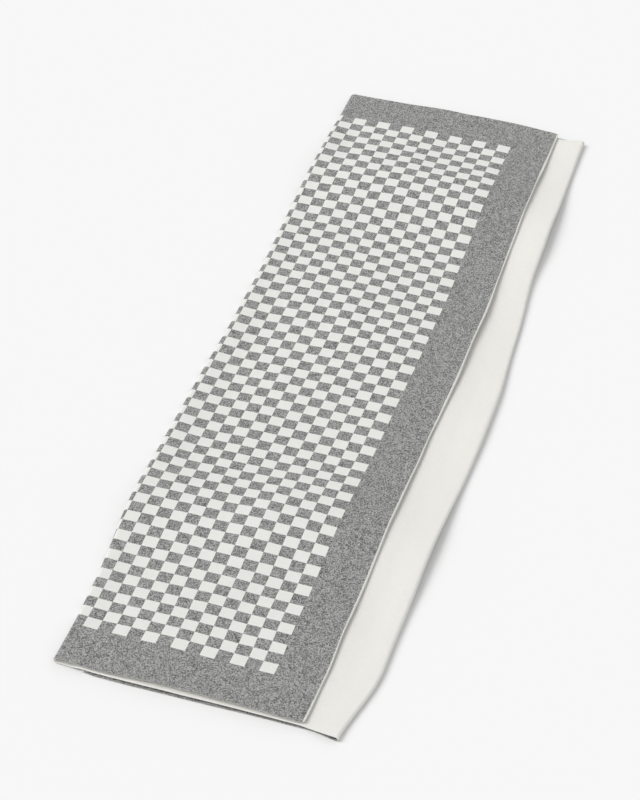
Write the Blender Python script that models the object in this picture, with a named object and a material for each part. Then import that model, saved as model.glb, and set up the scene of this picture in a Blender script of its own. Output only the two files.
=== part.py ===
"""A knitted throw, folded in three along its length and laid on a flat surface as one long runner.

The throw is one cloth, knitted with a checked face and a plain back. The top panel lies face up
with its free edge on the right. It turns under at the left fold, the middle panel runs back
across to the right fold, which stands out past the free edge and shows the plain back, and the
bottom panel returns under both, face up, on the surface. The knit is soft and springy, so the
folds stay round, and where the throw was bent before, the whole runner arches a little and its two
upper layers roll a little higher.

X runs across the runner, Y along it and Z up from the surface. The near hem is at -Y. Metres.
"""

import math
from collections import namedtuple

import bmesh
import bpy

# The cloth
CLOTH_WIDTH = 1.270
CLOTH_LENGTH = 1.520
THICKNESS = 0.0030
HALF_THICKNESS = THICKNESS / 2
EDGE_ROUNDING = 0.0015
EDGE_SHARE = 0.55  # of the thickness, left at the very edge

# The fold in three. The folds don't quite follow the wales, so the panels' widths change along the
# runner. The bottom panel has what is left of the cloth's width.
Panels = namedtuple("Panels", "along top middle")
PANELS = (
    Panels(along=-0.760, top=0.402, middle=0.459),
    Panels(along=-0.610, top=0.406, middle=0.484),
    Panels(along=-0.370, top=0.420, middle=0.499),
    Panels(along=-0.110, top=0.420, middle=0.504),
    Panels(along=0.370, top=0.420, middle=0.477),
    Panels(along=0.760, top=0.418, middle=0.471),
)
LAYER_GAP = 0.0010
LAYER_STEP = THICKNESS + LAYER_GAP
LEFT_FOLD_RADIUS = 0.0048  # of the middle of the cloth
RIGHT_FOLD_RADIUS = 0.0042
FOLD_TAPER = 0.048  # a fold's bulge dies away over this distance
STEP_RUN = 0.022  # the middle panel comes down off the bottom panel's edge over this distance
TOP_STEP_RUN = 0.100  # the top panel comes down more gently, over this distance at most

# How unevenly it lies. A swing is a slow sine along the runner, which starts this far into its turn.
Swing = namedtuple("Swing", "size length start")
LEFT_SWELL = Swing(size=0.16, length=0.43, start=0.0)  # a share of the fold's radius
RIGHT_SWELL = Swing(size=0.16, length=0.43, start=0.6 + math.pi / 2)
EDGE_WANDER = Swing(size=0.0026, length=0.83, start=0.5)
TOP_EDGE_X = 0.1685  # where the top panel's free edge lies, before it wanders and bows
BOW = 0.0070  # the runner's middle lies this far to the right of a line between its ends
MIDDLE_ROLL_SHARE = 0.45  # the middle panel rises by this share of the top panel's rolls
ROLL_FADE = 0.090  # the middle panel's rolls die away towards the folds
EDGE_REST = 0.110  # towards its free edge the top panel comes to rest over this distance
EDGE_REST_SHARE = 0.25  # of its own rolls, left at the edge

# Low arches, where the whole runner stands a little off the surface. along is the arch's middle,
# from the runner's middle, and slant is how much further along it is at each metre of X.
Arch = namedtuple("Arch", "along reach height slant")
ARCHES = (
    Arch(along=-0.385, reach=0.175, height=0.0085, slant=0.14),
    Arch(along=0.500, reach=0.185, height=0.0100, slant=-0.10),
)

# Low rolls across the two upper layers, on top of that
Roll = namedtuple("Roll", "along reach height slant")
ROLLS = (
    Roll(along=-0.370, reach=0.150, height=0.0075, slant=0.20),
    Roll(along=0.090, reach=0.190, height=0.0060, slant=-0.16),
    Roll(along=0.515, reach=0.150, height=0.0080, slant=0.12),
)

# Where the top panel's free edge stands up off the middle panel
EdgeLift = namedtuple("EdgeLift", "along reach height inward")
EDGE_LIFTS = (
    EdgeLift(along=-0.560, reach=0.150, height=0.0018, inward=0.060),
    EdgeLift(along=-0.200, reach=0.170, height=0.0022, inward=0.075),
    EdgeLift(along=0.180, reach=0.260, height=0.0055, inward=0.120),
    EdgeLift(along=0.610, reach=0.140, height=0.0026, inward=0.070),
)

# How the hems of the lower panels lie against the top panel's. Near the left fold and at the right
# one they stand out past it, and they are hidden under it between. slid is along Y.
HemPoint = namedtuple("HemPoint", "across slid")
HEM_POINTS = (
    HemPoint(across=0.000, slid=0.0),
    HemPoint(across=PANELS[0].top, slid=0.0),
    HemPoint(across=0.470, slid=-0.0036),
    HemPoint(across=0.600, slid=-0.0032),
    HemPoint(across=0.725, slid=-0.0004),
    HemPoint(across=0.790, slid=-0.0010),
    HemPoint(across=PANELS[0].top + PANELS[0].middle, slid=-0.0090),
    HemPoint(across=0.910, slid=-0.0014),
    HemPoint(across=0.990, slid=-0.0008),
    HemPoint(across=1.130, slid=-0.0056),
    HemPoint(across=CLOTH_WIDTH, slid=-0.0062),
)

# How finely it is modelled
FOLD_PIECES = 7
STATION_SPACING = 0.043
NEAR_LEFT_FOLD = 0.080  # the top panel is modelled more finely over this distance
PROBE = 0.0005  # a slope is read over this distance to each side

# The finish
CHECK_FACE = (0.52, 0.52, 0.50, 1.0)
PLAIN_BACK = (0.80, 0.79, 0.75, 1.0)
KNIT_ROUGHNESS = 0.9
FACE_SLOT, BACK_SLOT = 0, 1
SHARP_ANGLE = math.radians(50.0)

# A stretch of the section or of the runner, and how many pieces it is cut into
Run = namedtuple("Run", "length pieces")

# One point of the section: the middle of the cloth, its face's direction, its place in the cloth
SectionPoint = namedtuple("SectionPoint", "x z face_x face_z across")
# Where the two folds' centres and the two free edges are at one place along the runner
Folds = namedtuple("Folds", "left_x left_radius right_x right_radius top_edge_x bottom_edge_x")


def smooth(share):
    """0 up to 0, 1 from 1 on, and an S-curve between them."""
    share = min(max(share, 0.0), 1.0)
    return share * share * (3.0 - 2.0 * share)


def bump(distance, reach):
    """1 at no distance, falling smoothly to 0 at the reach."""
    return 1.0 - smooth(abs(distance) / reach)


def swing_at(swing, along):
    """How far a swing has gone to its one side or the other here."""
    return swing.size * math.sin(2.0 * math.pi * along / swing.length + swing.start)


def panels_at(along):
    """How wide the top panel and the middle one are here."""
    after = next(n for n, row in enumerate(PANELS) if along <= row.along or n == len(PANELS) - 1)
    start, end = PANELS[max(after - 1, 0)], PANELS[max(after, 1)]
    share = smooth((along - start.along) / (end.along - start.along))
    top = start.top + (end.top - start.top) * share
    return top, start.middle + (end.middle - start.middle) * share


def folds_at(along):
    """The folds and the free edges here. The cloth's width, round the folds, never changes."""
    top, middle = panels_at(along)
    left_radius = LEFT_FOLD_RADIUS * (1.0 + swing_at(LEFT_SWELL, along))
    right_radius = RIGHT_FOLD_RADIUS * (1.0 + swing_at(RIGHT_SWELL, along))
    half_left_turn = math.pi * left_radius / 2
    half_right_turn = math.pi * right_radius / 2
    from_middle = along / (CLOTH_LENGTH / 2)
    top_edge_x = TOP_EDGE_X + swing_at(EDGE_WANDER, along) + BOW * (1.0 - from_middle**2)
    left_x = top_edge_x - top + half_left_turn
    right_x = left_x + middle - half_left_turn - half_right_turn
    bottom_edge_x = right_x - (CLOTH_WIDTH - top - middle) + half_right_turn
    return Folds(left_x, left_radius, right_x, right_radius, top_edge_x, bottom_edge_x)


def arch_height(x, along):
    """How far the whole runner stands off the surface here."""
    return sum(
        arch.height * bump(along - arch.along - arch.slant * x, arch.reach) for arch in ARCHES
    )


def roll_height(x, along):
    """How far the top panel's rolls lift it here."""
    return sum(
        roll.height * bump(along - roll.along - roll.slant * x, roll.reach) for roll in ROLLS
    )


def step_share(x, folds, run):
    """How far a panel is up on the bottom one here, if it comes up to its edge over this run."""
    return smooth((x - folds.bottom_edge_x + run) / run)


def middle_height(x, along, folds):
    """The middle panel's height: on the surface, up over the bottom panel, and into the fold."""
    over_bottom = step_share(x, folds, STEP_RUN)
    into_fold = smooth((x - folds.right_x) / FOLD_TAPER + 1.0)
    fold_rise = 2.0 * folds.right_radius - LAYER_STEP
    clear_of_folds = smooth((x - folds.bottom_edge_x) / ROLL_FADE)
    clear_of_folds *= smooth((folds.right_x - x) / ROLL_FADE)
    roll = MIDDLE_ROLL_SHARE * roll_height(x, along) * clear_of_folds
    return HALF_THICKNESS + LAYER_STEP * over_bottom + fold_rise * into_fold + roll


def top_height(x, along, folds):
    """The top panel's height: a layer above the middle one, into the fold, with rolls and lifts."""
    into_fold = smooth((folds.left_x - x) / FOLD_TAPER + 1.0)
    fold_rise = 2.0 * folds.left_radius - LAYER_STEP
    from_edge = folds.top_edge_x - x
    off_edge = EDGE_REST_SHARE + (1.0 - EDGE_REST_SHARE) * smooth(from_edge / EDGE_REST)
    own_roll = (1.0 - MIDDLE_ROLL_SHARE) * roll_height(x, along) * (1.0 - into_fold) * off_edge
    lift = sum(
        each.height
        * bump(along - each.along, each.reach)
        * max(0.0, 1.0 - from_edge / each.inward) ** 2
        for each in EDGE_LIFTS
    )
    step_run = min(TOP_STEP_RUN, folds.bottom_edge_x - folds.left_x)
    bridged = step_share(x, folds, step_run) - step_share(x, folds, STEP_RUN)
    base = middle_height(x, along, folds) + LAYER_STEP * (1.0 + bridged)
    return base + fold_rise * into_fold + own_roll + lift


def stops(runs):
    """Distances along a panel, from its start to its end, with each run cut into its pieces."""
    distances = [0.0]
    for run in runs:
        start = distances[-1]
        distances += [start + run.length * (piece + 1) / run.pieces for piece in range(run.pieces)]
    return distances


def panel_points(height_at, start_x, heading, start_across, runs):
    """Points along one panel, walked from start_x towards +X or -X as heading is 1 or -1."""
    points = []
    for walked in stops(runs):
        x = start_x + heading * walked
        slope = (height_at(x + PROBE) - height_at(x - PROBE)) / (2.0 * PROBE)
        size = math.hypot(1.0, slope)
        face_x, face_z = heading * slope / size, -heading / size
        points.append(SectionPoint(x, height_at(x), face_x, face_z, start_across + walked))
    return points


def fold_points(centre_x, radius, side, start_across):
    """Points round a fold, without its ends. side is 1 at the left, where the face is outside."""
    points = []
    for piece in range(1, FOLD_PIECES):
        turned = math.pi * piece / FOLD_PIECES
        out_x, out_z = -side * math.sin(turned), math.cos(turned)
        x = centre_x + radius * out_x
        z = HALF_THICKNESS + radius * (1.0 + out_z)
        across = start_across + radius * turned
        points.append(SectionPoint(x, z, side * out_x, side * out_z, across))
    return points


def section(along):
    """The middle of the cloth from the top panel's free edge to the bottom panel's."""
    folds = folds_at(along)
    top_flat = folds.top_edge_x - folds.left_x
    middle_flat = folds.right_x - folds.left_x
    bottom_flat = folds.right_x - folds.bottom_edge_x
    on_surface = folds.bottom_edge_x - STEP_RUN - folds.left_x
    over_bottom = middle_flat - on_surface - STEP_RUN - FOLD_TAPER

    points = panel_points(
        lambda x: top_height(x, along, folds),
        start_x=folds.top_edge_x,
        heading=-1,
        start_across=0.0,
        runs=(
            Run(EDGE_ROUNDING, 1),
            Run(top_flat - EDGE_ROUNDING - NEAR_LEFT_FOLD, 7),
            Run(NEAR_LEFT_FOLD, 7),
        ),
    )
    points += fold_points(folds.left_x, folds.left_radius, 1, top_flat)
    middle_start = top_flat + math.pi * folds.left_radius
    points += panel_points(
        lambda x: middle_height(x, along, folds),
        start_x=folds.left_x,
        heading=1,
        start_across=middle_start,
        runs=(
            Run(on_surface, 2),
            Run(STEP_RUN, 4),
            Run(over_bottom, 7),
            Run(FOLD_TAPER, 5),
        ),
    )
    points += fold_points(folds.right_x, folds.right_radius, -1, middle_start + middle_flat)
    points += panel_points(
        lambda x: HALF_THICKNESS,
        start_x=folds.right_x,
        heading=-1,
        start_across=CLOTH_WIDTH - bottom_flat,
        runs=(
            Run(bottom_flat - EDGE_ROUNDING, 6),
            Run(EDGE_ROUNDING, 1),
        ),
    )
    return [point._replace(z=point.z + arch_height(point.x, along)) for point in points]


def stations():
    """Places along the runner where a section is made, with one just inside each hem."""
    inner = CLOTH_LENGTH - 2 * EDGE_ROUNDING
    pieces = round(inner / STATION_SPACING)
    runs = (Run(EDGE_ROUNDING, 1), Run(inner, pieces), Run(EDGE_ROUNDING, 1))
    return [distance - CLOTH_LENGTH / 2 for distance in stops(runs)]


def half_thickness(across, along):
    """Half the cloth's thickness, thinner at its very edges, which are rounded."""
    from_side = min(across, CLOTH_WIDTH - across)
    from_hem = CLOTH_LENGTH / 2 - abs(along)
    near = min(from_side, from_hem, EDGE_ROUNDING)
    inside = smooth(near / EDGE_ROUNDING)
    return HALF_THICKNESS * (EDGE_SHARE + (1.0 - EDGE_SHARE) * inside)


def hem_slide(across):
    """How far this strip of the cloth is slid along Y, so that the three hems don't line up."""
    for start, end in zip(HEM_POINTS, HEM_POINTS[1:]):
        if across <= end.across:
            share = smooth((across - start.across) / (end.across - start.across))
            return start.slid + (end.slid - start.slid) * share
    return HEM_POINTS[-1].slid


def cloth_grids(mesh):
    """The cloth's vertices as two grids, one on its face and one on its back."""
    face_grid, back_grid = [], []
    for along in stations():
        face_row, back_row = [], []
        for point in section(along):
            half = half_thickness(point.across, along)
            y = along + hem_slide(point.across)
            out_x, out_z = point.face_x * half, point.face_z * half
            face_row.append(mesh.verts.new((point.x + out_x, y, point.z + out_z)))
            back_row.append(mesh.verts.new((point.x - out_x, y, point.z - out_z)))
        face_grid.append(face_row)
        back_grid.append(back_row)
    return face_grid, back_grid


def add_grid_faces(mesh, grid, slot):
    """Quads over a grid of vertices."""
    for row, next_row in zip(grid, grid[1:]):
        for a, b, c, d in zip(row, row[1:], next_row[1:], next_row):
            mesh.faces.new((a, b, c, d)).material_index = slot


def rim_of(grid):
    """The grid's border vertices, once round."""
    right = [row[-1] for row in grid[1:-1]]
    left = [row[0] for row in grid[1:-1]]
    return grid[0] + right + grid[-1][::-1] + left[::-1]


def add_rim_faces(mesh, face_grid, back_grid):
    """The cloth's edges, where the plain back wraps round to meet the face."""
    face_rim, back_rim = rim_of(face_grid), rim_of(back_grid)
    for n, (a, b) in enumerate(zip(face_rim, back_rim)):
        c, d = back_rim[n - 1], face_rim[n - 1]
        mesh.faces.new((a, b, c, d)).material_index = BACK_SLOT


def centre_on_surface(mesh):
    """Moves the runner so that the middle of its underside's box is at the origin."""
    lows = [min(vert.co[axis] for vert in mesh.verts) for axis in range(3)]
    highs = [max(vert.co[axis] for vert in mesh.verts) for axis in range(3)]
    middle_x, middle_y = (lows[0] + highs[0]) / 2, (lows[1] + highs[1]) / 2
    bmesh.ops.translate(mesh, verts=mesh.verts, vec=(-middle_x, -middle_y, -lows[2]))


def knit_material(name, colour):
    material = bpy.data.materials.new(name)
    material.use_nodes = True
    material.diffuse_color = colour
    shader = material.node_tree.nodes["Principled BSDF"]
    shader.inputs["Base Color"].default_value = colour
    shader.inputs["Roughness"].default_value = KNIT_ROUGHNESS
    shader.inputs["Metallic"].default_value = 0.0
    return material


def make_throw():
    """The throw as one object, with its face and its back in two finishes."""
    mesh = bmesh.new()
    face_grid, back_grid = cloth_grids(mesh)
    add_grid_faces(mesh, face_grid, FACE_SLOT)
    add_grid_faces(mesh, back_grid, BACK_SLOT)
    add_rim_faces(mesh, face_grid, back_grid)
    bmesh.ops.recalc_face_normals(mesh, faces=mesh.faces)
    centre_on_surface(mesh)
    data = bpy.data.meshes.new("throw")
    mesh.to_mesh(data)
    mesh.free()
    data.materials.append(knit_material("checked_face", CHECK_FACE))
    data.materials.append(knit_material("plain_back", PLAIN_BACK))
    data.shade_smooth()
    data.set_sharp_from_angle(angle=SHARP_ANGLE)
    throw = bpy.data.objects.new("throw", data)
    bpy.context.scene.collection.objects.link(throw)
    return throw


def main():
    for thing in list(bpy.data.objects):
        bpy.data.objects.remove(thing)
    make_throw()


main()
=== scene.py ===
import math
from collections import namedtuple

import bpy
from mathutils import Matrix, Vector, noise


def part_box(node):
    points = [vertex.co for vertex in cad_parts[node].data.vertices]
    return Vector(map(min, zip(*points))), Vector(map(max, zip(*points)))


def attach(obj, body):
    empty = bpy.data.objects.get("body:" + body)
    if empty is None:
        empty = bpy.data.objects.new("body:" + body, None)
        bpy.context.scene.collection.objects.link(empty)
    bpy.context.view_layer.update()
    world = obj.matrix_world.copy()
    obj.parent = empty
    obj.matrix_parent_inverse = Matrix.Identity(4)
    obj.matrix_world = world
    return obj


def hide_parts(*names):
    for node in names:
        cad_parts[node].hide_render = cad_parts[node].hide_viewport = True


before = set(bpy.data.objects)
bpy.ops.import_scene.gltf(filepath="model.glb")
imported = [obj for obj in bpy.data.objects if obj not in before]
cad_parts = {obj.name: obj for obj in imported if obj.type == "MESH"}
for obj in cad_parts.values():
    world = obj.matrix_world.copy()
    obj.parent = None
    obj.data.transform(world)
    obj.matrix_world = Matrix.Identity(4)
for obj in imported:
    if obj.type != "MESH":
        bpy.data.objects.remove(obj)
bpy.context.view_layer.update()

# The camera looks down on the throw from beyond its near right corner, through a long lens, at the
# angle at which the photograph shows the cloth.
LENS_MM = 108.0
SENSOR_MM = 36.0
CAMERA_TURN = math.radians(18.5)
CAMERA_TILT = math.radians(43.0)
CAMERA_DISTANCE = 4.05
CAMERA_REACH = 200.0  # past the floor's far edge
AIM = Vector((-0.035, -0.080, 0.005))

towards_camera = Vector((
    math.sin(CAMERA_TURN) * math.cos(CAMERA_TILT),
    -math.cos(CAMERA_TURN) * math.cos(CAMERA_TILT),
    math.sin(CAMERA_TILT),
))
lens = bpy.data.cameras.new("camera")
lens.lens = LENS_MM
lens.sensor_width = SENSOR_MM
lens.clip_end = CAMERA_REACH
camera = bpy.data.objects.new("camera", lens)
camera.location = AIM + towards_camera * CAMERA_DISTANCE
camera.rotation_euler = towards_camera.to_track_quat("Z", "Y").to_euler()
bpy.context.scene.collection.objects.link(camera)
bpy.context.scene.camera = camera

# The throw is one cotton cloth in a double-face knit, checked on its face and plain on its back. It is
# folded in three along its length: the top panel is face up, the middle one turns back under it and
# stands out past its free edge to the right fold, and the bottom one lies face up on the surface.
CLOTH_WIDTH = 1.270
CLOTH_LENGTH = 1.520
THICKNESS = 0.0030
HALF_THICKNESS = THICKNESS / 2
LAYER_STEP = THICKNESS + 0.0010
LEFT_FOLD_RADIUS = 0.0048  # of the middle of the cloth
RIGHT_FOLD_RADIUS = 0.0042
FOLD_TAPER = 0.048  # a fold's bulge dies away over this distance
STEP_RUN = 0.022  # the middle panel comes down off the bottom panel's edge over this distance
TOP_STEP_RUN = 0.100  # the top panel comes down more gently, over this distance at most

# The fold in three. The folds don't quite follow the wales, so the panels' widths change along the
# runner. The bottom panel has what is left of the cloth's width.
Panels = namedtuple("Panels", "along top middle")
PANELS = (
    Panels(along=-0.760, top=0.402, middle=0.459),
    Panels(along=-0.610, top=0.406, middle=0.484),
    Panels(along=-0.370, top=0.420, middle=0.499),
    Panels(along=-0.110, top=0.420, middle=0.504),
    Panels(along=0.370, top=0.420, middle=0.477),
    Panels(along=0.760, top=0.418, middle=0.471),
)

# How unevenly it lies. A swing is a slow sine along the runner, which starts this far into its turn.
Swing = namedtuple("Swing", "size length start")
LEFT_SWELL = Swing(size=0.16, length=0.43, start=0.0)  # a share of the fold's radius
RIGHT_SWELL = Swing(size=0.16, length=0.43, start=0.6 + math.pi / 2)
EDGE_WANDER = Swing(size=0.0026, length=0.83, start=0.5)
TOP_EDGE_X = 0.1685  # where the top panel's free edge lies, before it wanders and bows
BOW = 0.0070  # the free edge's middle lies this far to the right of a line between its ends
MIDDLE_ROLL_SHARE = 0.45  # the middle panel rises by this share of the top panel's rolls
ROLL_FADE = 0.090  # the middle panel's rolls die away towards the folds
EDGE_REST = 0.110  # towards its free edge the top panel comes to rest over this distance
EDGE_REST_SHARE = 0.25  # of its own rolls and ripples, left at the edge

# Low arches, where the whole runner stands a little off the surface, as it was bent before. along is
# the arch's middle, from the runner's middle, and slant is how far that moves along for each X.
Arch = namedtuple("Arch", "along reach height slant")
ARCHES = (
    Arch(along=-0.385, reach=0.175, height=0.0085, slant=0.14),
    Arch(along=0.500, reach=0.185, height=0.0100, slant=-0.10),
)

# Low rolls across the two upper layers, on top of that
Roll = namedtuple("Roll", "along reach height slant")
ROLLS = (
    Roll(along=-0.370, reach=0.150, height=0.0075, slant=0.20),
    Roll(along=0.090, reach=0.190, height=0.0060, slant=-0.16),
    Roll(along=0.515, reach=0.150, height=0.0080, slant=0.12),
)

# Where the top panel's free edge stands up off the middle panel
EdgeLift = namedtuple("EdgeLift", "along reach height inward")
EDGE_LIFTS = (
    EdgeLift(along=-0.560, reach=0.150, height=0.0018, inward=0.060),
    EdgeLift(along=-0.200, reach=0.170, height=0.0022, inward=0.075),
    EdgeLift(along=0.180, reach=0.260, height=0.0055, inward=0.120),
    EdgeLift(along=0.610, reach=0.140, height=0.0026, inward=0.070),
)

# How the hems of the lower panels lie along Y against the top panel's. They stand out past it near
# the left fold and at the right one, and are hidden under it between.
HemPoint = namedtuple("HemPoint", "across slid")
HEM_POINTS = (
    HemPoint(across=0.000, slid=0.0),
    HemPoint(across=PANELS[0].top, slid=0.0),
    HemPoint(across=0.470, slid=-0.0036),
    HemPoint(across=0.600, slid=-0.0032),
    HemPoint(across=0.725, slid=-0.0004),
    HemPoint(across=0.790, slid=-0.0010),
    HemPoint(across=PANELS[0].top + PANELS[0].middle, slid=-0.0090),
    HemPoint(across=0.910, slid=-0.0014),
    HemPoint(across=0.990, slid=-0.0008),
    HemPoint(across=1.130, slid=-0.0056),
    HemPoint(across=CLOTH_WIDTH, slid=-0.0062),
)

# The fine unevenness of a springy knit: waves of its folds and edges, and ripples of its layers.
# Each row is another wave of the same kind.
Wave = namedtuple("Wave", "height length row")
FOLD_WAVE = Wave(height=0.0013, length=0.110, row=2)
STRIP_WAVE = Wave(height=0.0010, length=0.090, row=4)
EDGE_WAVE = Wave(height=0.0012, length=0.075, row=1)
NEAR_HEM_WAVE = Wave(height=0.0016, length=0.120, row=10)
FAR_HEM_WAVE = Wave(height=0.0016, length=0.120, row=12)
HEM_WAVE_FADE = 0.060  # the hems' waves die away over this distance
HEM_CURL = 0.0016  # the top panel's hems turn up this much
HEM_CURL_WAVE = Wave(height=HEM_CURL, length=0.110, row=5)
HEM_CURL_REACH = 0.035  # over this distance
CORNER_DRAW = 0.0022  # the corners are drawn in this much
CORNER_REACH = 0.016  # over this distance
NOISE_REACH = 0.625  # Blender's noise seldom goes further than this from 0
ROWS_APART = 7.31
WAVE_SLICE = 0.47  # of the noise, away from its even zeros

Ripple = namedtuple("Ripple", "height across along row")
RIPPLES = (
    Ripple(height=0.0018, across=0.130, along=0.190, row=3.7),
    Ripple(height=0.00055, across=0.042, along=0.058, row=8.1),
)
MIDDLE_RIPPLE_SHARE = 0.6
TOP_LAYER, MIDDLE_LAYER = 1, 2

# How finely the cloth is meshed
ROUNDING_PIECES = 5
FOLD_PIECES = 14
TAPER_SPACING = 0.0035
ALONG_SPACING = 0.0082
EDGE_BAND = 0.030  # along the top panel's free edge the pieces are this fine
EDGE_BAND_SPACING = 0.004
TOP_PIECES = 43
UNDER_LEFT_FOLD_PIECES = 10
MIDDLE_PIECES = 38
BOTTOM_PIECES = 24
PROBE = 0.0005  # a slope is read over this distance to each side

# One point of the section: the middle of the cloth, its face's direction, its place in the cloth
SectionPoint = namedtuple("SectionPoint", "x z face_x face_z across")
# Where the two folds' centres and the two free edges are at one place along the runner
Folds = namedtuple("Folds", "left_x left_radius right_x right_radius top_edge_x bottom_edge_x")


def smooth(share):
    """0 up to 0, 1 from 1 on, and an S-curve between them."""
    share = min(max(share, 0.0), 1.0)
    return share * share * (3.0 - 2.0 * share)


def bump(distance, reach):
    """1 at no distance, falling smoothly to 0 at the reach."""
    return 1.0 - smooth(abs(distance) / reach)


def swing_at(swing, along):
    return swing.size * math.sin(2.0 * math.pi * along / swing.length + swing.start)


def wave_at(wave, place):
    """A soft uneven wave, between about minus its height and its height."""
    unevenness = noise.noise(Vector((place / wave.length, wave.row * ROWS_APART, WAVE_SLICE)))
    return wave.height * unevenness / NOISE_REACH


def ripple_height(x, along, layer):
    """The fine unevenness of one layer, which only lifts it."""
    return sum(
        each.height
        * (1.0 + noise.noise(Vector((x / each.across, along / each.along, each.row + layer))))
        for each in RIPPLES
    )


def panels_at(along):
    """How wide the top panel and the middle one are here."""
    after = next(n for n, row in enumerate(PANELS) if along <= row.along or n == len(PANELS) - 1)
    start, end = PANELS[max(after - 1, 0)], PANELS[max(after, 1)]
    share = smooth((along - start.along) / (end.along - start.along))
    top = start.top + (end.top - start.top) * share
    return top, start.middle + (end.middle - start.middle) * share


def folds_at(along):
    """The folds and the free edges here. The cloth's width, round the folds, never changes."""
    top, middle = panels_at(along)
    middle += wave_at(STRIP_WAVE, along)
    left_radius = LEFT_FOLD_RADIUS * (1.0 + swing_at(LEFT_SWELL, along))
    right_radius = RIGHT_FOLD_RADIUS * (1.0 + swing_at(RIGHT_SWELL, along))
    half_left_turn = math.pi * left_radius / 2
    half_right_turn = math.pi * right_radius / 2
    from_middle = along / (CLOTH_LENGTH / 2)
    top_edge_x = TOP_EDGE_X + swing_at(EDGE_WANDER, along) + wave_at(FOLD_WAVE, along)
    top_edge_x += BOW * (1.0 - from_middle**2)
    left_x = top_edge_x - top + half_left_turn
    right_x = left_x + middle - half_left_turn - half_right_turn
    bottom_edge_x = right_x - (CLOTH_WIDTH - top - middle) + half_right_turn
    return Folds(left_x, left_radius, right_x, right_radius, top_edge_x, bottom_edge_x)


def arch_height(x, along):
    """How far the whole runner stands off the surface here."""
    return sum(
        arch.height * bump(along - arch.along - arch.slant * x, arch.reach) for arch in ARCHES
    )


def roll_height(x, along):
    """How far the top panel's rolls lift it here."""
    return sum(
        roll.height * bump(along - roll.along - roll.slant * x, roll.reach) for roll in ROLLS
    )


def step_share(x, folds, run):
    """How far a panel is up on the bottom one here, if it comes up to its edge over this run."""
    return smooth((x - folds.bottom_edge_x + run) / run)


def middle_height(x, along, folds):
    """The middle panel's height: on the surface, up over the bottom panel, and into the fold."""
    over_bottom = step_share(x, folds, STEP_RUN)
    into_fold = smooth((x - folds.right_x) / FOLD_TAPER + 1.0)
    fold_rise = 2.0 * folds.right_radius - LAYER_STEP
    clear_of_folds = smooth((x - folds.bottom_edge_x) / ROLL_FADE)
    clear_of_folds *= smooth((folds.right_x - x) / ROLL_FADE)
    roll = MIDDLE_ROLL_SHARE * roll_height(x, along) * clear_of_folds
    fine = MIDDLE_RIPPLE_SHARE * ripple_height(x, along, MIDDLE_LAYER) * clear_of_folds
    return HALF_THICKNESS + LAYER_STEP * over_bottom + fold_rise * into_fold + roll + fine


def top_height(x, along, folds):
    """The top panel's height: a layer above the middle one, into the fold, with rolls and lifts."""
    into_fold = smooth((folds.left_x - x) / FOLD_TAPER + 1.0)
    fold_rise = 2.0 * folds.left_radius - LAYER_STEP
    from_edge = folds.top_edge_x - x
    off_edge = EDGE_REST_SHARE + (1.0 - EDGE_REST_SHARE) * smooth(from_edge / EDGE_REST)
    own_roll = (1.0 - MIDDLE_ROLL_SHARE) * roll_height(x, along)
    own_height = own_roll + ripple_height(x, along, TOP_LAYER)
    own_height *= (1.0 - into_fold) * off_edge
    lift = sum(
        each.height
        * bump(along - each.along, each.reach)
        * max(0.0, 1.0 - from_edge / each.inward) ** 2
        for each in EDGE_LIFTS
    )
    from_hem = CLOTH_LENGTH / 2 - abs(along)
    near_hem = max(0.0, 1.0 - from_hem / HEM_CURL_REACH) ** 2
    curl = near_hem * max(HEM_CURL + wave_at(HEM_CURL_WAVE, x), 0.0)
    step_run = min(TOP_STEP_RUN, folds.bottom_edge_x - folds.left_x)
    bridged = step_share(x, folds, step_run) - step_share(x, folds, STEP_RUN)
    base = middle_height(x, along, folds) + LAYER_STEP * (1.0 + bridged)
    return base + fold_rise * into_fold + own_height + lift + curl


def stops(runs):
    """Distances along a panel, from its start to its end, with each run cut into its pieces."""
    distances = [0.0]
    for length, pieces in runs:
        start = distances[-1]
        distances += [start + length * (piece + 1) / pieces for piece in range(pieces)]
    return distances


def rounding_stops():
    """Distances in from an edge over its rounding, closer together towards the edge."""
    turns = [math.pi / 2 * piece / ROUNDING_PIECES for piece in range(ROUNDING_PIECES)]
    return [HALF_THICKNESS * (1.0 - math.cos(turn)) for turn in turns]


def even_run(length, spacing):
    """A run of this length, and how many pieces of about this spacing it takes."""
    return length, round(length / spacing)


def panel_points(height_at, start_x, heading, start_across, distances):
    """Points along one panel, walked from start_x towards +X or -X as heading is 1 or -1."""
    points = []
    for walked in distances:
        x = start_x + heading * walked
        slope = (height_at(x + PROBE) - height_at(x - PROBE)) / (2.0 * PROBE)
        size = math.hypot(1.0, slope)
        face_x, face_z = heading * slope / size, -heading / size
        points.append(SectionPoint(x, height_at(x), face_x, face_z, start_across + walked))
    return points


def fold_points(centre_x, radius, side, start_across):
    """Points round a fold, without its ends. side is 1 at the left, where the face is outside."""
    points = []
    for piece in range(1, FOLD_PIECES):
        turned = math.pi * piece / FOLD_PIECES
        out_x, out_z = -side * math.sin(turned), math.cos(turned)
        x = centre_x + radius * out_x
        z = HALF_THICKNESS + radius * (1.0 + out_z)
        across = start_across + radius * turned
        points.append(SectionPoint(x, z, side * out_x, side * out_z, across))
    return points


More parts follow.
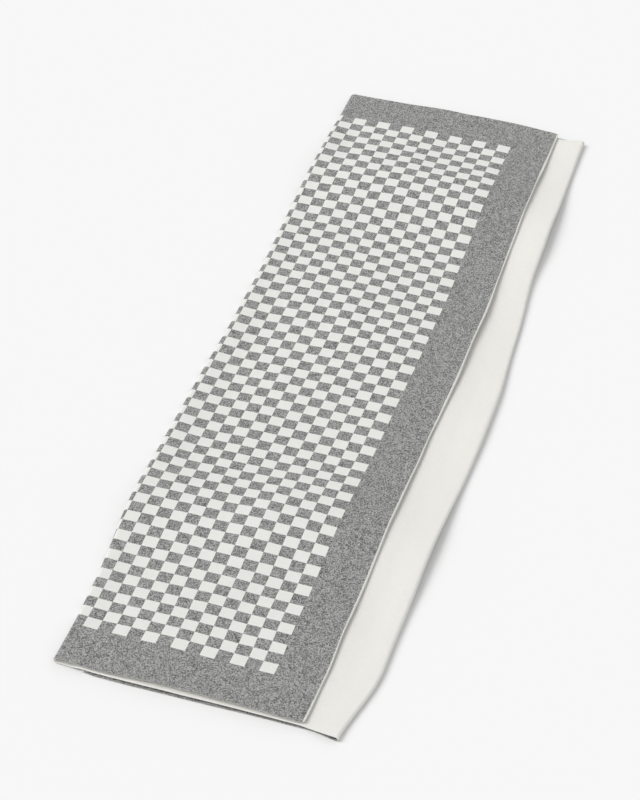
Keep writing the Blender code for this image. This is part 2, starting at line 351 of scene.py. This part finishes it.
def section(along):
    """The middle of the cloth from the top panel's free edge to the bottom panel's."""
    folds = folds_at(along)
    edge_out = wave_at(EDGE_WAVE, along)
    top_flat = folds.top_edge_x + edge_out - folds.left_x
    middle_flat = folds.right_x - folds.left_x
    bottom_flat = folds.right_x - folds.bottom_edge_x
    on_surface = folds.bottom_edge_x - STEP_RUN - folds.left_x
    over_bottom = middle_flat - on_surface - STEP_RUN - FOLD_TAPER

    rounding = rounding_stops()
    past_rounding = stops((
        even_run(EDGE_BAND - HALF_THICKNESS, EDGE_BAND_SPACING),
        (top_flat - EDGE_BAND - FOLD_TAPER, TOP_PIECES),
        even_run(FOLD_TAPER, TAPER_SPACING),
    ))
    points = panel_points(
        lambda x: top_height(x, along, folds),
        start_x=folds.top_edge_x + edge_out,
        heading=-1,
        start_across=-edge_out,
        distances=rounding + [HALF_THICKNESS + distance for distance in past_rounding],
    )
    left_fold_start = top_flat - edge_out
    points += fold_points(folds.left_x, folds.left_radius, 1, left_fold_start)
    middle_start = left_fold_start + math.pi * folds.left_radius
    points += panel_points(
        lambda x: middle_height(x, along, folds),
        start_x=folds.left_x,
        heading=1,
        start_across=middle_start,
        distances=stops((
            (on_surface, UNDER_LEFT_FOLD_PIECES),
            even_run(STEP_RUN, TAPER_SPACING),
            (over_bottom, MIDDLE_PIECES),
            even_run(FOLD_TAPER, TAPER_SPACING),
        )),
    )
    points += fold_points(folds.right_x, folds.right_radius, -1, middle_start + middle_flat)
    to_rounding = stops(((bottom_flat - HALF_THICKNESS, BOTTOM_PIECES),))
    points += panel_points(
        lambda x: HALF_THICKNESS,
        start_x=folds.right_x,
        heading=-1,
        start_across=CLOTH_WIDTH - bottom_flat,
        distances=to_rounding + [bottom_flat - distance for distance in reversed(rounding)],
    )
    return [point._replace(z=point.z + arch_height(point.x, along)) for point in points]


def edge_share(distance):
    """The share of the thickness that is left this far in from an edge, which is a half round."""
    into = min(max(distance, 0.0) / HALF_THICKNESS, 1.0)
    return math.sqrt(into * (2.0 - into))


def place_in(distance):
    """How far into the knit this distance in from an edge is, round the edge's half circle."""
    if distance >= HALF_THICKNESS:
        return distance
    turned = math.acos(1.0 - max(distance, 0.0) / HALF_THICKNESS)
    return HALF_THICKNESS * (1.0 + turned - math.pi / 2)


def hem_slide(across):
    """How far this strip of the cloth is slid along Y, so that the three hems don't line up."""
    for start, end in zip(HEM_POINTS, HEM_POINTS[1:]):
        if across <= end.across:
            share = smooth((across - start.across) / (end.across - start.across))
            return start.slid + (end.slid - start.slid) * share
    return HEM_POINTS[-1].slid


def hem_place(point, along):
    """Where this point of the section lies along Y, with the hems' slide, waves and corners."""
    end = math.copysign(1.0, along)
    near_hem = bump(CLOTH_LENGTH / 2 - abs(along), HEM_WAVE_FADE)
    hem_wave = FAR_HEM_WAVE if end > 0.0 else NEAR_HEM_WAVE
    from_side = min(point.across, CLOTH_WIDTH - point.across)
    drawn = CORNER_DRAW * max(0.0, 1.0 - from_side / CORNER_REACH) ** 2
    uneven = wave_at(hem_wave, point.across) - end * drawn
    return along + hem_slide(point.across) + uneven * near_hem


def along_stops():
    """Places along the runner where a section is made, closer together at the hems."""
    rounding = rounding_stops()
    between = stops((even_run(CLOTH_LENGTH - THICKNESS, ALONG_SPACING),))
    distances = rounding + [HALF_THICKNESS + distance for distance in between]
    distances += [CLOTH_LENGTH - distance for distance in reversed(rounding)]
    return [distance - CLOTH_LENGTH / 2 for distance in distances]


def cloth_grids():
    """Two grids of point numbers, on the cloth's face and its back, which share the edges' points.

    With them come the points and, for each, its place across and along the cloth.
    """
    points, places, face_grid, back_grid = [], [], [], []
    for along in along_stops():
        cut = section(along)
        start, end = cut[0].across, cut[-1].across
        from_hem = CLOTH_LENGTH / 2 - abs(along)
        from_middle = math.copysign(CLOTH_LENGTH / 2 - place_in(from_hem), along)
        face_row, back_row = [], []
        for point in cut:
            from_start, from_end = point.across - start, end - point.across
            half = HALF_THICKNESS * edge_share(from_hem) * edge_share(min(from_start, from_end))
            if from_start < from_end:
                across = start + place_in(from_start)
            else:
                across = end - place_in(from_end)
            place = across, from_middle + CLOTH_LENGTH / 2
            out_x, out_z = point.face_x * half, point.face_z * half
            y = hem_place(point, along)
            face_row.append(len(points))
            points.append((point.x + out_x, y, point.z + out_z))
            places.append(place)
            if half == 0.0:
                back_row.append(face_row[-1])
                continue
            back_row.append(len(points))
            points.append((point.x - out_x, y, point.z - out_z))
            places.append(place)
        face_grid.append(face_row)
        back_grid.append(back_row)
    return points, places, face_grid, back_grid


# The face's yarn and the back's meet in the middle of each edge.
FACE_SLOT, BACK_SLOT = 0, 1


def cloth_faces(face_grid, back_grid):
    """The quads of both grids, facing outwards, and each one's material."""
    faces, slots = [], []
    for row in range(len(face_grid) - 1):
        for column in range(len(face_grid[row]) - 1):
            a, b = face_grid[row][column:column + 2]
            d, c = face_grid[row + 1][column:column + 2]
            faces.append((d, c, b, a))
            slots.append(FACE_SLOT)
            a, b = back_grid[row][column:column + 2]
            d, c = back_grid[row + 1][column:column + 2]
            faces.append((a, b, c, d))
            slots.append(BACK_SLOT)
    return faces, slots


points, places, face_grid, back_grid = cloth_grids()
faces, slots = cloth_faces(face_grid, back_grid)
knit = bpy.data.meshes.new("knitted_throw")
knit.from_pydata(points, [], faces)
knit.polygons.foreach_set("material_index", slots)
cloth_map = knit.uv_layers.new(name="cloth")
for loop in knit.loops:
    cloth_map.uv[loop.index].vector = places[loop.vertex_index]
knit.shade_smooth()

# The laid cloth keeps the place of the solid that it stands for.
low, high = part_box("throw")
lowest = [min(point[axis] for point in points) for axis in range(3)]
highest = [max(point[axis] for point in points) for axis in range(3)]
across_shift = (low[0] + high[0] - lowest[0] - highest[0]) / 2
along_shift = (low[1] + high[1] - lowest[1] - highest[1]) / 2
for vertex in knit.vertices:
    vertex.co += Vector((across_shift, along_shift, low[2] - lowest[2]))
throw = bpy.data.objects.new("knitted_throw", knit)
bpy.context.scene.collection.objects.link(throw)


def add(tree, kind, **settings):
    """A new shader node with these settings."""
    node = tree.nodes.new(kind)
    for name, value in settings.items():
        setattr(node, name, value)
    return node


def fill(tree, socket, value):
    """Gives an input another node's output, or a plain value."""
    if isinstance(value, bpy.types.NodeSocket):
        tree.links.new(value, socket)
    else:
        socket.default_value = value


def wire(tree, node, **inputs):
    """Fills a node's inputs by their names, with _ for each space."""
    for name, value in inputs.items():
        fill(tree, node.inputs[name.replace("_", " ")], value)
    return node


def math_node(tree, operation, *values, clamp=False):
    node = add(tree, "ShaderNodeMath", operation=operation, use_clamp=clamp)
    for socket, value in zip(node.inputs, values):
        fill(tree, socket, value)
    return node.outputs[0]


def noise_at(tree, place, scale, detail, roughness):
    node = add(tree, "ShaderNodeTexNoise", noise_dimensions="2D")
    wire(tree, node, Vector=place, Scale=scale, Detail=detail, Roughness=roughness)
    return node.outputs[0]


def place_of(tree, across, along):
    return wire(tree, add(tree, "ShaderNodeCombineXYZ"), X=across, Y=along).outputs[0]


def mix_colour(tree, share, first, second):
    """A mix of two colours, which a colour Mix node takes in its inputs 6 and 7."""
    node = add(tree, "ShaderNodeMix", data_type="RGBA")
    fill(tree, node.inputs[0], share)
    fill(tree, node.inputs[6], first)
    fill(tree, node.inputs[7], second)
    return node.outputs[2]


def new_group(name, inputs, outputs):
    """A new shader node group, with its input node and its output node."""
    tree = bpy.data.node_groups.new(name, "ShaderNodeTree")
    for socket, kind in inputs:
        tree.interface.new_socket(socket, in_out="INPUT", socket_type=kind)
    for socket, kind in outputs:
        tree.interface.new_socket(socket, in_out="OUTPUT", socket_type=kind)
    return tree, add(tree, "NodeGroupInput"), add(tree, "NodeGroupOutput")


# The knit. Each stitch is a small V of two legs. The wales run along the throw and the courses
# across it, 14 of each to a square of the check. The side edges are closed by a row of loops.
COLUMN_WIDTH = 0.0238
ROW_HEIGHT = 0.0205
STITCHES_PER_SQUARE = 14
STITCH_WIDTH = COLUMN_WIDTH / STITCHES_PER_SQUARE
COURSE_HEIGHT = ROW_HEIGHT / STITCHES_PER_SQUARE
LEG_MIDDLE = 0.25  # of a stitch's width, from its middle line
EDGE_LOOP_LENGTH = 2 * COURSE_HEIGHT
EDGE_LOOP_WIDTH = 0.0024
EDGE_LOOP_HEIGHT = 1.6  # as against a stitch's
FUZZ_SIZE = 0.00042
FUZZ_DETAIL = 2.0
FUZZ_ROUGHNESS = 0.7

stitches, given, out = new_group(
    "Knit stitches",
    inputs=(
        ("Across", "NodeSocketFloat"),
        ("Along", "NodeSocketFloat"),
        ("Leg Slant", "NodeSocketFloat"),
        ("Fuzz", "NodeSocketFloat"),
    ),
    outputs=(
        ("Height", "NodeSocketFloat"),
        ("Stitch Tone", "NodeSocketFloat"),
        ("Course", "NodeSocketFloat"),
        ("From Edge", "NodeSocketFloat"),
    ),
)
wale = math_node(stitches, "DIVIDE", given.outputs["Across"], STITCH_WIDTH)
course = math_node(stitches, "DIVIDE", given.outputs["Along"], COURSE_HEIGHT)
off_middle = math_node(
    stitches, "ABSOLUTE", math_node(stitches, "SUBTRACT", math_node(stitches, "FRACT", wale), 0.5))
leg = math_node(stitches, "MULTIPLY", off_middle, given.outputs["Leg Slant"])
slanted = math_node(stitches, "SUBTRACT", course, leg)
leg_turn = math_node(stitches, "MULTIPLY", slanted, math.pi)
round_leg = math_node(stitches, "ABSOLUTE", math_node(stitches, "SINE", leg_turn))
off_leg = math_node(stitches, "SUBTRACT", off_middle, LEG_MIDDLE)
across_leg = math_node(stitches, "COSINE", math_node(stitches, "MULTIPLY", off_leg, 2.0 * math.pi))
stitch_height = math_node(stitches, "MULTIPLY", round_leg, across_leg)
stitch_tone = add(stitches, "ShaderNodeTexWhiteNoise", noise_dimensions="2D")
wire(stitches, stitch_tone, Vector=place_of(
    stitches, math_node(stitches, "FLOOR", wale), math_node(stitches, "FLOOR", slanted)))

from_centre_line = math_node(
    stitches, "ABSOLUTE", math_node(stitches, "SUBTRACT", given.outputs["Across"], CLOTH_WIDTH / 2))
from_edge = math_node(stitches, "SUBTRACT", CLOTH_WIDTH / 2, from_centre_line)
loop_place = math_node(
    stitches,
    "SUBTRACT",
    math_node(stitches, "DIVIDE", given.outputs["Along"], EDGE_LOOP_LENGTH),
    math_node(stitches, "DIVIDE", from_edge, EDGE_LOOP_WIDTH),
)
loop_turn = math_node(stitches, "MULTIPLY", loop_place, math.pi)
round_loop = math_node(stitches, "ABSOLUTE", math_node(stitches, "SINE", loop_turn))
loop_height = math_node(stitches, "MULTIPLY", round_loop, EDGE_LOOP_HEIGHT)
at_edge = math_node(stitches, "LESS_THAN", from_edge, EDGE_LOOP_WIDTH)
knit_height = math_node(stitches, "MULTIPLY_ADD", loop_height, at_edge, stitch_height)
cloth_place = place_of(stitches, given.outputs["Across"], given.outputs["Along"])
fuzz = noise_at(stitches, cloth_place, 1.0 / FUZZ_SIZE, FUZZ_DETAIL, FUZZ_ROUGHNESS)
fuzzy_height = math_node(stitches, "MULTIPLY_ADD", fuzz, given.outputs["Fuzz"], knit_height)
wire(stitches, out, Height=fuzzy_height, Stitch_Tone=stitch_tone.outputs["Value"])
wire(stitches, out, Course=slanted, From_Edge=from_edge)

# How a yarn's tone changes over the cloth, as soft grains of this length across and width along.
# strength is how far they change it.
Grain = namedtuple("Grain", "length width strength detail")
GRAIN_ROUGHNESS = 0.6


def grained(tree, grains, across, along, tone):
    """This tone with these grains over it."""
    for grain in grains:
        place = place_of(
            tree,
            math_node(tree, "DIVIDE", across, grain.length),
            math_node(tree, "DIVIDE", along, grain.width),
        )
        soft_grain = noise_at(tree, place, 1.0, grain.detail, GRAIN_ROUGHNESS)
        uneven = math_node(tree, "SUBTRACT", soft_grain, 0.5)
        tone = math_node(tree, "MULTIPLY_ADD", uneven, grain.strength, tone)
    return tone


# The heather yarn is spun from dark and pale fibres. Its tone changes every few millimetres along
# each course, whatever its neighbours' do, with streaks of fibre and broad clouds over all.
YARN_GRAINS = (
    Grain(length=0.0080, width=1.0, strength=0.75, detail=1.0),
    Grain(length=0.0022, width=1.0, strength=1.90, detail=1.0),
)
FIBRE_GRAINS = (
    Grain(length=0.0011, width=0.00035, strength=1.30, detail=1.0),
    Grain(length=0.0028, width=COURSE_HEIGHT, strength=0.85, detail=2.0),
    Grain(length=0.0130, width=0.0130, strength=0.45, detail=3.0),
)
COURSES_APART = 7.37
STITCH_STRENGTH = 0.6

heather, given, out = new_group(
    "Heather yarn",
    inputs=(
        ("Across", "NodeSocketFloat"),
        ("Course", "NodeSocketFloat"),
        ("Stitch Tone", "NodeSocketFloat"),
        ("Dark", "NodeSocketColor"),
        ("Pale", "NodeSocketColor"),
    ),
    outputs=(("Color", "NodeSocketColor"),),
)
own_course = math_node(
    heather, "MULTIPLY", math_node(heather, "FLOOR", given.outputs["Course"]), COURSES_APART)
along = math_node(heather, "MULTIPLY", given.outputs["Course"], COURSE_HEIGHT)
tone = grained(heather, YARN_GRAINS, given.outputs["Across"], own_course, 0.5)
tone = grained(heather, FIBRE_GRAINS, given.outputs["Across"], along, tone)
stitch_part = math_node(heather, "SUBTRACT", given.outputs["Stitch Tone"], 0.5)
tone = math_node(heather, "MULTIPLY_ADD", stitch_part, STITCH_STRENGTH, tone, clamp=True)
heather_colour = mix_colour(heather, tone, given.outputs["Dark"], given.outputs["Pale"])
wire(heather, out, Color=heather_colour)

# The ivory yarn is a touch deeper in places, with a faint grain along the courses.
IVORY_GRAINS = (
    Grain(length=0.012, width=0.0021, strength=1.1, detail=2.0),
    Grain(length=0.0024, width=0.0015, strength=1.2, detail=2.0),
    Grain(length=0.10, width=0.13, strength=0.6, detail=2.0),
)
IVORY_DEPTH = 0.25
IVORY_STITCH_STRENGTH = 0.5

ivory_yarn, given, out = new_group(
    "Ivory yarn",
    inputs=(
        ("Across", "NodeSocketFloat"),
        ("Along", "NodeSocketFloat"),
        ("Stitch Tone", "NodeSocketFloat"),
        ("Pale", "NodeSocketColor"),
        ("Deep", "NodeSocketColor"),
    ),
    outputs=(("Color", "NodeSocketColor"),),
)
depth = grained(
    ivory_yarn, IVORY_GRAINS, given.outputs["Across"], given.outputs["Along"], IVORY_DEPTH)
stitch_part = math_node(ivory_yarn, "SUBTRACT", given.outputs["Stitch Tone"], 0.5)
depth = math_node(
    ivory_yarn, "MULTIPLY_ADD", stitch_part, IVORY_STITCH_STRENGTH, depth, clamp=True)
ivory_colour = mix_colour(ivory_yarn, depth, given.outputs["Pale"], given.outputs["Deep"])
wire(ivory_yarn, out, Color=ivory_colour)

# The finish of both sides: a soft matt cotton, with its stitches in low relief
KNIT_ROUGHNESS = 0.92
KNIT_SHEEN = 0.12
KNIT_SHEEN_ROUGHNESS = 0.5
KNIT_SPECULAR = 0.25
STITCH_RELIEF = 0.00045
LEG_SLANT = 0.9  # in courses for each stitch's width
FUZZ_HEIGHT = 0.30  # as against a stitch's


def knit_material(name):
    """A knit with its relief in place, its place across and along, and its stitches' node."""
    material = bpy.data.materials.new(name)
    material.use_nodes = True
    tree = material.node_tree
    shader = tree.nodes["Principled BSDF"]
    shader.inputs["Roughness"].default_value = KNIT_ROUGHNESS
    shader.inputs["Sheen Weight"].default_value = KNIT_SHEEN
    shader.inputs["Sheen Roughness"].default_value = KNIT_SHEEN_ROUGHNESS
    shader.inputs["Specular IOR Level"].default_value = KNIT_SPECULAR
    apart = add(tree, "ShaderNodeSeparateXYZ")
    wire(tree, apart, Vector=add(tree, "ShaderNodeUVMap", uv_map="cloth").outputs[0])
    across, along = apart.outputs["X"], apart.outputs["Y"]
    node = add(tree, "ShaderNodeGroup", node_tree=stitches)
    wire(tree, node, Across=across, Along=along, Leg_Slant=LEG_SLANT, Fuzz=FUZZ_HEIGHT)
    relief = add(tree, "ShaderNodeBump")
    wire(tree, relief, Strength=1.0, Distance=STITCH_RELIEF, Height=node.outputs["Height"])
    wire(tree, shader, Normal=relief.outputs[0])
    return material, tree, shader, across, along, node


def ivory_node(tree, across, along, stitch_node, pale, deep):
    node = add(tree, "ShaderNodeGroup", node_tree=ivory_yarn)
    wire(tree, node, Across=across, Along=along, Stitch_Tone=stitch_node.outputs["Stitch Tone"])
    wire(tree, node, Pale=pale, Deep=deep)
    return node.outputs["Color"]


# The face has a check knitted into it, 47 squares across and 67 along, pale at the corners, inside a
# heather border. The knit gives a little, so its lines waver and step from stitch to stitch. The
# side edges show a line of ivory.
CHECK_COLUMNS = 47
CHECK_ROWS = 67
SIDE_BORDER = (CLOTH_WIDTH - CHECK_COLUMNS * COLUMN_WIDTH) / 2
HEM_BORDER = (CLOTH_LENGTH - CHECK_ROWS * ROW_HEIGHT) / 2
ACROSS_WAVER = 0.0016
ALONG_WAVER = 0.0026
ACROSS_WAVER_SCALE = 9.0  # waves a metre
ALONG_WAVER_SCALE = 11.0
WAVER_DETAIL = 2.0
WAVER_ROUGHNESS = 0.5
WAVERS_APART = 5.0
IVORY_LIP = 0.0030
LIP_STEP = 0.0010  # the ivory line is this uneven, from stitch to stitch
DARK_FIBRE = (0.070, 0.070, 0.069, 1.0)
PALE_FIBRE = (0.520, 0.520, 0.510, 1.0)
FACE_IVORY = (0.884, 0.880, 0.847, 1.0)
FACE_IVORY_DEEP = (0.818, 0.813, 0.775, 1.0)

face, tree, shader, across, along, stitch_node = knit_material("checked_knit")
course, stitch_tone = stitch_node.outputs["Course"], stitch_node.outputs["Stitch Tone"]
cloth_place = place_of(tree, across, along)
other_place = place_of(tree, math_node(tree, "ADD", across, WAVERS_APART), along)
across_waver = noise_at(tree, cloth_place, ACROSS_WAVER_SCALE, WAVER_DETAIL, WAVER_ROUGHNESS)
along_waver = noise_at(tree, other_place, ALONG_WAVER_SCALE, WAVER_DETAIL, WAVER_ROUGHNESS)
column_place = math_node(
    tree, "MULTIPLY_ADD", math_node(tree, "SUBTRACT", across_waver, 0.5), ACROSS_WAVER, across)
course_place = math_node(tree, "MULTIPLY", course, COURSE_HEIGHT)
row_place = math_node(
    tree, "MULTIPLY_ADD", math_node(tree, "SUBTRACT", along_waver, 0.5), ALONG_WAVER, course_place)
column = math_node(
    tree, "DIVIDE", math_node(tree, "SUBTRACT", column_place, SIDE_BORDER), COLUMN_WIDTH)
row = math_node(tree, "DIVIDE", math_node(tree, "SUBTRACT", row_place, HEM_BORDER), ROW_HEIGHT)
both = math_node(tree, "ADD", math_node(tree, "FLOOR", column), math_node(tree, "FLOOR", row))
pale_square = math_node(
    tree, "COMPARE", math_node(tree, "FLOORED_MODULO", both, 2.0), 0.0, 0.5)
in_check = math_node(
    tree,
    "MULTIPLY",
    math_node(tree, "COMPARE", column, CHECK_COLUMNS / 2, CHECK_COLUMNS / 2),
    math_node(tree, "COMPARE", row, CHECK_ROWS / 2, CHECK_ROWS / 2),
)
stitch_part = math_node(tree, "SUBTRACT", stitch_tone, 0.5)
uneven_edge = math_node(
    tree, "MULTIPLY_ADD", stitch_part, LIP_STEP, stitch_node.outputs["From Edge"])
in_lip = math_node(tree, "LESS_THAN", uneven_edge, IVORY_LIP)
ivory_share = math_node(
    tree, "MAXIMUM", math_node(tree, "MULTIPLY", pale_square, in_check), in_lip)
heather_node = add(tree, "ShaderNodeGroup", node_tree=heather)
wire(tree, heather_node, Across=across, Course=course, Stitch_Tone=stitch_tone)
wire(tree, heather_node, Dark=DARK_FIBRE, Pale=PALE_FIBRE)
ivory = ivory_node(tree, across, along, stitch_node, FACE_IVORY, FACE_IVORY_DEEP)
face_colour = mix_colour(tree, ivory_share, heather_node.outputs["Color"], ivory)
wire(tree, shader, Base_Color=face_colour)
knit.materials.append(face)

# The plain back
BACK_IVORY = (0.915, 0.905, 0.862, 1.0)
BACK_IVORY_DEEP = (0.860, 0.848, 0.800, 1.0)

back, tree, shader, across, along, stitch_node = knit_material("plain_knit")
ivory = ivory_node(tree, across, along, stitch_node, BACK_IVORY, BACK_IVORY_DEEP)
wire(tree, shader, Base_Color=ivory)
knit.materials.append(back)

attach(throw, "root")
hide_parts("throw")

# The floor is a plain pale studio floor, one broad matt sheet that reaches far past the throw. The
# throw lies on it.
FLOOR_SIZE = 160.0
FLOOR_GAP = 0.0002
FLOOR_COLOUR = (0.806, 0.806, 0.806, 1.0)
FLOOR_ROUGHNESS = 0.9
FLOOR_SPECULAR = 0.0

floor_mesh = bpy.data.meshes.new("floor")
half = FLOOR_SIZE / 2
floor_mesh.from_pydata(
    [(-half, -half, 0.0), (half, -half, 0.0), (half, half, 0.0), (-half, half, 0.0)],
    [],
    [(0, 1, 2, 3)],
)
floor = bpy.data.objects.new("floor", floor_mesh)
floor.location.z = low[2] - FLOOR_GAP
bpy.context.scene.collection.objects.link(floor)
paint = bpy.data.materials.new("studio_floor")
paint.use_nodes = True
floor_shader = paint.node_tree.nodes["Principled BSDF"]
floor_shader.inputs["Base Color"].default_value = FLOOR_COLOUR
floor_shader.inputs["Roughness"].default_value = FLOOR_ROUGHNESS
floor_shader.inputs["Specular IOR Level"].default_value = FLOOR_SPECULAR
floor_mesh.materials.append(paint)

# The light is a plain soft studio light: a pale surround, and one broad lamp high up at the left of
# the view.
SURROUND = 0.70
SURROUND_COLOUR = (1.0, 1.0, 1.0, 1.0)
LAMP_STRENGTH = 1.90
LAMP_SPREAD = math.radians(36.0)
LAMP_FROM = Vector((-0.75, -0.30, 0.95))

world = bpy.data.worlds.new("studio")
world.use_nodes = True
background = world.node_tree.nodes["Background"]
background.inputs["Color"].default_value = SURROUND_COLOUR
background.inputs["Strength"].default_value = SURROUND
bpy.context.scene.world = world
lamp_data = bpy.data.lights.new("broad_lamp", "SUN")
lamp_data.energy = LAMP_STRENGTH
lamp_data.angle = LAMP_SPREAD
lamp = bpy.data.objects.new("broad_lamp", lamp_data)
lamp.rotation_euler = LAMP_FROM.to_track_quat("Z", "Y").to_euler()
bpy.context.scene.collection.objects.link(lamp)
bpy.context.scene.view_settings.view_transform = "Standard"
